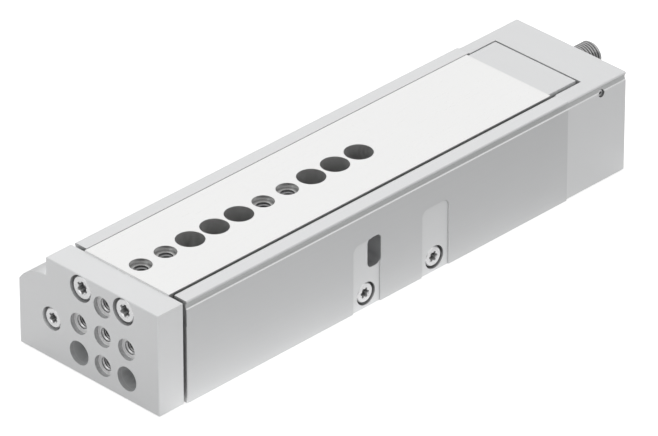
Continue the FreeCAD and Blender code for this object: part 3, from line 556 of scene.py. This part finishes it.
def screwGroup(name, node, size, axis, turn, body, shares):
    # finds each screw of a CAD node from the box of the node, and stands a detailed one in its place. The
    # shares say how far across the box each screw lies
    low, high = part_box(node)
    shape = capScrews[size]
    side = 1 if axis in ("+X", "+Y", "+Z") else -1
    k = "XYZ".index(axis[1])
    face = high[k] if side > 0 else low[k]
    seat = face - side * shape["headHeight"]
    length = abs((low[k] if side > 0 else high[k]) - seat)
    others = [i for i in range(3) if i != k]
    centres = []
    for place in shares:
        point = [0.0, 0.0, 0.0]
        point[k] = seat
        for i, share in zip(others, place):
            inner = low[i] + shape["headRadius"]
            outer = high[i] - shape["headRadius"]
            point[i] = inner + (outer - inner) * share
        centres.append(point)
    piece = grow(name, screwTree, centres, {**shape, "shankLength": length}, turn, finishes["screw_steel"])
    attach(piece, body)
    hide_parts(node)


oneScrew = [(0.0, 0.0)]
twoScrews = [(0.0, 0.0), (1.0, 0.0)]
screwGroup("yokeCapScrews", "yoke_screws", "m6", "+X", alongX, "slide", twoScrews)
screwGroup("rodCapScrew", "rod_screw", "m5", "+X", alongX, "slide", oneScrew)
screwGroup("sideCapScrews", "side_screws", "m5", "+Y", alongY, "housing", twoScrews)
screwGroup("clampCapScrew", "stop_clamp_screw", "m4", "+Y", alongY, "housing", oneScrew)
screwGroup("endPlateCapScrews", "end_plate_screws", "m5", "-X", againstX, "slide", twoScrews)

# the rear block's screws sit at uneven places, so each is found from its own part of the node
rearSearch = {"faceSlack": 0.01 * mm, "headReach": 9 * mm, "size": "m4"}
rearLow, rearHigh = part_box("rear_block_screws")
heads = []
for vertex in nodes["rear_block_screws"].data.vertices:
    if abs(vertex.co.x - rearLow.x) < rearSearch["faceSlack"]:
        near = [h for h in heads if (h[0] - vertex.co).length < rearSearch["headReach"]]
        if near:
            near[0].append(vertex.co.copy())
        else:
            heads.append([vertex.co.copy()])
rearScrew = capScrews[rearSearch["size"]]
rearSeat = rearLow.x + rearScrew["headHeight"]
rearCentres = []
for group in heads:
    ys = [p.y for p in group]
    zs = [p.z for p in group]
    rearCentres.append((rearSeat, (min(ys) + max(ys)) / 2, (min(zs) + max(zs)) / 2))
rearSizes = {**rearScrew, "shankLength": rearHigh.x - rearLow.x - rearScrew["headHeight"]}
rearScrews = grow("rearBlockCapScrews", screwTree, rearCentres, rearSizes, againstX, finishes["screw_steel"])
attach(rearScrews, "housing")
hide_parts("rear_block_screws")
print("cap screws done:", len(rearCentres), "at the rear")


# stops and set screws
threadedRods = {
    "rearStopThread": {
        "node": "rear_stop_sleeve", "axis": "-X", "turn": againstX, "body": "rear_stop", "slot": "stop_steel",
        "pitch": 1.25 * mm, "depth": 0.6 * mm, "plain": 0.2 * mm, "rim": 0.15 * mm, "keyRadius": 3.4 * mm,
        "keyDepth": 5.0 * mm},
    "frontStopThread": {
        "node": "front_stop_sleeve", "axis": "+X", "turn": alongX, "body": "front_stop", "slot": "stop_steel",
        "pitch": 1.0 * mm, "depth": 0.55 * mm, "plain": 0.5 * mm, "rim": 0.4 * mm, "keyRadius": 2.8 * mm,
        "keyDepth": 5.0 * mm},
    "plugSetScrew": {
        "node": "plug_screw", "axis": "+Y", "turn": alongY, "body": "housing", "slot": "screw_steel",
        "pitch": 0.5 * mm, "depth": 0.25 * mm, "plain": 0.3 * mm, "rim": 0.2 * mm, "keyRadius": 0.85 * mm,
        "keyDepth": 2.0 * mm},
    "grubSetScrew": {
        "node": "rear_stop_grub_screw", "axis": "-Z", "turn": downZ, "body": "housing", "slot": "screw_steel",
        "pitch": 0.8 * mm, "depth": 0.4 * mm, "plain": 0.5 * mm, "rim": 0.4 * mm, "keyRadius": 1.4 * mm,
        "keyDepth": 3.0 * mm},
}
for name, rod in threadedRods.items():
    low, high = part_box(rod["node"])
    k = "XYZ".index(rod["axis"][1])
    outward = rod["axis"][0] == "+"
    start = [(low[i] + high[i]) / 2 for i in range(3)]
    start[k] = low[k] if outward else high[k]
    radius = min(high[i] - low[i] for i in range(3) if i != k) / 2
    sizes = {key: rod[key] for key in ("pitch", "depth", "plain", "rim", "keyRadius", "keyDepth")}
    piece = grow(name, rodTree, [start], {**sizes, "radius": radius, "length": high[k] - low[k]}, rod["turn"],
                 finishes[rod["slot"]])
    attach(piece, rod["body"])
    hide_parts(rod["node"])
print("stops and set screws done")


# tapped holes
tappedHoles = {
    "pitch": 1.0 * mm, "depth": 0.5 * mm, "holeRadius": 3.0 * mm, "recessDepth": 2.1 * mm,
    "slideTapDepth": 11.5 * mm, "yokeGrid": 13.0 * mm, "portPitch": 0.9 * mm, "portDepth": 0.45 * mm,
}
mounts = {m["name"]: m for m in frame["record"]["mounts"]}
yokeLow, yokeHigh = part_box("yoke_plate")
slideLow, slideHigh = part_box("slide_table")
centre = Vector(mounts["yoke_centre_thread"]["pos_m"])
grid = tappedHoles["yokeGrid"]
yokeTaps = [(yokeLow.x, centre.y + dy * grid, centre.z + dz * grid)
            for dy, dz in ((0, 0), (1, 0), (-1, 0), (0, 1), (0, -1))]
yokeTapLength = yokeHigh.x - yokeLow.x - tappedHoles["recessDepth"]
slideTaps = []
for mountName in ("slide_threads_front", "slide_threads_rear"):
    middle = Vector(mounts[mountName]["pos_m"])
    halfPitch = mounts[mountName]["dims"]["spacing_x_mm"] * mm / 2
    for step in (-halfPitch, halfPitch):
        slideTaps.append((middle.x + step, 0.0, slideHigh.z - tappedHoles["slideTapDepth"]))
slideTapLength = tappedHoles["slideTapDepth"] - tappedHoles["recessDepth"]
ports = [mounts[name] for name in ("air_port_extend", "air_port_retract")]
portLength = ports[0]["dims"]["length_mm"] * mm
portPlaces = [Vector(port["pos_m"]) + Vector((portLength / 2, 0, 0)) for port in ports]
holeSizes = {"radius": tappedHoles["holeRadius"], "pitch": tappedHoles["pitch"],
             "depth": tappedHoles["depth"]}
portSizes = {"radius": ports[0]["dims"]["r_mm"] * mm, "pitch": tappedHoles["portPitch"],
             "depth": tappedHoles["portDepth"], "length": portLength}
holeSets = [
    ("yokeHoleThreads", yokeTaps, {**holeSizes, "length": yokeTapLength}, alongX, "slide", "anodised_yoke",
     "shadedTapMetal"),
    ("slideHoleThreads", slideTaps, {**holeSizes, "length": slideTapLength}, alongZ, "slide", "ground_steel",
     "shadedTapSteel"),
    ("portHoleThreads", portPlaces, portSizes, againstX, "housing", "anodised_cover", "shadedTapMetal"),
]
for name, places, sizes, turn, body, slotName, finishName in holeSets:
    piece = grow(name, tappedTree, places, sizes, turn, innerFinishes[finishName])
    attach(piece, body)
print("tapped holes done")


# studio
studio = {
    "floorSize": 14.0, "floorDrop": 0.02 * mm, "floorColour": (0.62, 0.62, 0.62), "floorRoughness": 0.9,
    "floorWhite": 0.75, "rearGlow": 0.0, "frontGlow": 0.15, "aheadGlow": 0.22, "aheadRamp": 0.012,
    "poolGlow": 0.80, "poolRear": 0.5, "poolReach": 0.026, "horizonGlow": 0.25, "horizonReach": 0.40,
    "worldColour": (1.0, 1.0, 1.0), "worldStrength": 0.40, "cameraPlace": (1.7568, 1.7695, 1.54513),
    "cameraAim": (-0.60771, -0.60209, -0.51786), "focalPixels": 7611.0, "photoWidth": 658, "sensor": 36.0,
    "farEnd": 50.0,
}
lamps = [
    {"name": "topLamp", "place": (-0.9, -0.9, 1.5), "aim": (-0.03, 0.0, 0.03), "size": 1.6, "power": 15.0,
     "inGloss": False},
    {"name": "frontLamp", "place": (1.6, -0.2, 0.8), "aim": (0.0, 0.0, 0.02), "size": 1.0, "power": 3.0,
     "inGloss": True},
    {"name": "sideLamp", "place": (-0.3, 1.7, 0.6), "aim": (-0.03, 0.0, 0.02), "size": 1.0, "power": 9.0,
     "inGloss": False},
]


def floorMaterial():
    # pale floor that keeps the object's shadow and reads as white to the camera. What metal sees of it
    # grows lighter towards the object's front end, in front of it and close to its long sides
    material, tree, shader = newMaterial("paleFloor")
    shader.inputs["Base Color"].default_value = (*studio["floorColour"], 1)
    shader.inputs["Roughness"].default_value = studio["floorRoughness"]
    shader.inputs["Specular IOR Level"].default_value = 0.0
    shader.inputs["Emission Color"].default_value = (1, 1, 1, 1)
    low, high = Vector(cadBounds[0]), Vector(cadBounds[1])
    place = put(tree, "ShaderNodeTexCoord")
    split = put(tree, "ShaderNodeSeparateXYZ", {"Vector": place.outputs["Object"]})
    along = spread(tree, split.outputs["X"], studio["rearGlow"], studio["frontGlow"], low.x, high.x)
    ahead = spread(tree, split.outputs["X"], 0.0, 1.0, high.x - studio["aheadRamp"], high.x)
    fromMiddle = calc(tree, "ABSOLUTE", calc(tree, "SUBTRACT", split.outputs["Y"], (low.y + high.y) / 2), 0.0)
    beside = calc(tree, "MAXIMUM", calc(tree, "SUBTRACT", fromMiddle, (high.y - low.y) / 2), 0.0)
    fade = calc(tree, "EXPONENT", calc(tree, "MULTIPLY", beside, -1 / studio["poolReach"]), 0.0)
    poolAlong = spread(tree, split.outputs["X"], studio["poolRear"], 1.0, low.x, high.x)
    pool = calc(tree, "MULTIPLY", calc(tree, "MULTIPLY", fade, calc(tree, "SUBTRACT", 1.0, ahead)),
                calc(tree, "MULTIPLY", poolAlong, studio["poolGlow"]))
    aheadGlow = calc(tree, "MULTIPLY", ahead, studio["aheadGlow"])
    glow = calc(tree, "ADD", along, calc(tree, "ADD", pool, aheadGlow))
    path = put(tree, "ShaderNodeLightPath")
    unseen = calc(tree, "MULTIPLY", path.outputs["Is Glossy Ray"], glow)
    seen = calc(tree, "MULTIPLY", path.outputs["Is Camera Ray"], studio["floorWhite"])
    tree.links.new(calc(tree, "ADD", seen, unseen), shader.inputs["Emission Strength"])
    return material


halfFloor = studio["floorSize"] / 2
corners = [(x * halfFloor, y * halfFloor, 0) for x, y in ((-1, -1), (1, -1), (1, 1), (-1, 1))]
floorMesh = bpy.data.meshes.new("paleFloor")
floorMesh.from_pydata(corners, [], [(0, 1, 2, 3)])
floor = bpy.data.objects.new("paleFloor", floorMesh)
floor.location.z = cadBounds[0][2] - studio["floorDrop"]
floorMesh.materials.append(floorMaterial())
bpy.context.scene.collection.objects.link(floor)

world = bpy.data.worlds.new("studioWorld")
bpy.context.scene.world = world
world.use_nodes = True
worldTree = world.node_tree
worldTree.nodes.clear()
worldOut = put(worldTree, "ShaderNodeOutputWorld")
worldPath = put(worldTree, "ShaderNodeLightPath")
worldWay = put(worldTree, "ShaderNodeTexCoord")
worldHeight = put(worldTree, "ShaderNodeSeparateXYZ", {"Vector": worldWay.outputs["Generated"]})
glossy, through = (worldPath.outputs[ray] for ray in ("Is Glossy Ray", "Is Transmission Ray"))
mirrored = calc(worldTree, "MAXIMUM", glossy, through)
mirrorGlow = spread(worldTree, worldHeight.outputs["Z"], studio["horizonGlow"], 1.0, 0.0,
                    studio["horizonReach"])
worldUnseen = spread(worldTree, mirrored, studio["worldStrength"], mirrorGlow, 0.0, 1.0)
worldGlow = put(worldTree, "ShaderNodeMapRange", {
    "Value": worldPath.outputs["Is Camera Ray"], "To Min": worldUnseen, "To Max": 1.0})
worldShade = put(worldTree, "ShaderNodeBackground", {
    "Color": (*studio["worldColour"], 1), "Strength": worldGlow.outputs["Result"]})
worldTree.links.new(worldShade.outputs["Background"], worldOut.inputs["Surface"])


def aimed(obj, place, direction):
    obj.location = place
    obj.rotation_mode = "QUATERNION"
    obj.rotation_quaternion = Vector(direction).to_track_quat("-Z", "Y")


for lamp in lamps:
    light = bpy.data.lights.new(lamp["name"], "AREA")
    light.shape = "SQUARE"
    light.size = lamp["size"]
    light.energy = lamp["power"]
    holder = bpy.data.objects.new(lamp["name"], light)
    bpy.context.scene.collection.objects.link(holder)
    holder.visible_glossy = lamp["inGloss"]
    aimed(holder, lamp["place"], Vector(lamp["aim"]) - Vector(lamp["place"]))

view = bpy.data.cameras.new("photoCamera")
view.sensor_fit = "HORIZONTAL"
view.sensor_width = studio["sensor"]
view.lens = studio["focalPixels"] * studio["sensor"] / studio["photoWidth"]
view.clip_end = studio["farEnd"]
viewer = bpy.data.objects.new("photoCamera", view)
bpy.context.scene.collection.objects.link(viewer)
aimed(viewer, studio["cameraPlace"], studio["cameraAim"])
bpy.context.scene.camera = viewer
bpy.context.scene.view_settings.view_transform = "Standard"
print("studio done")
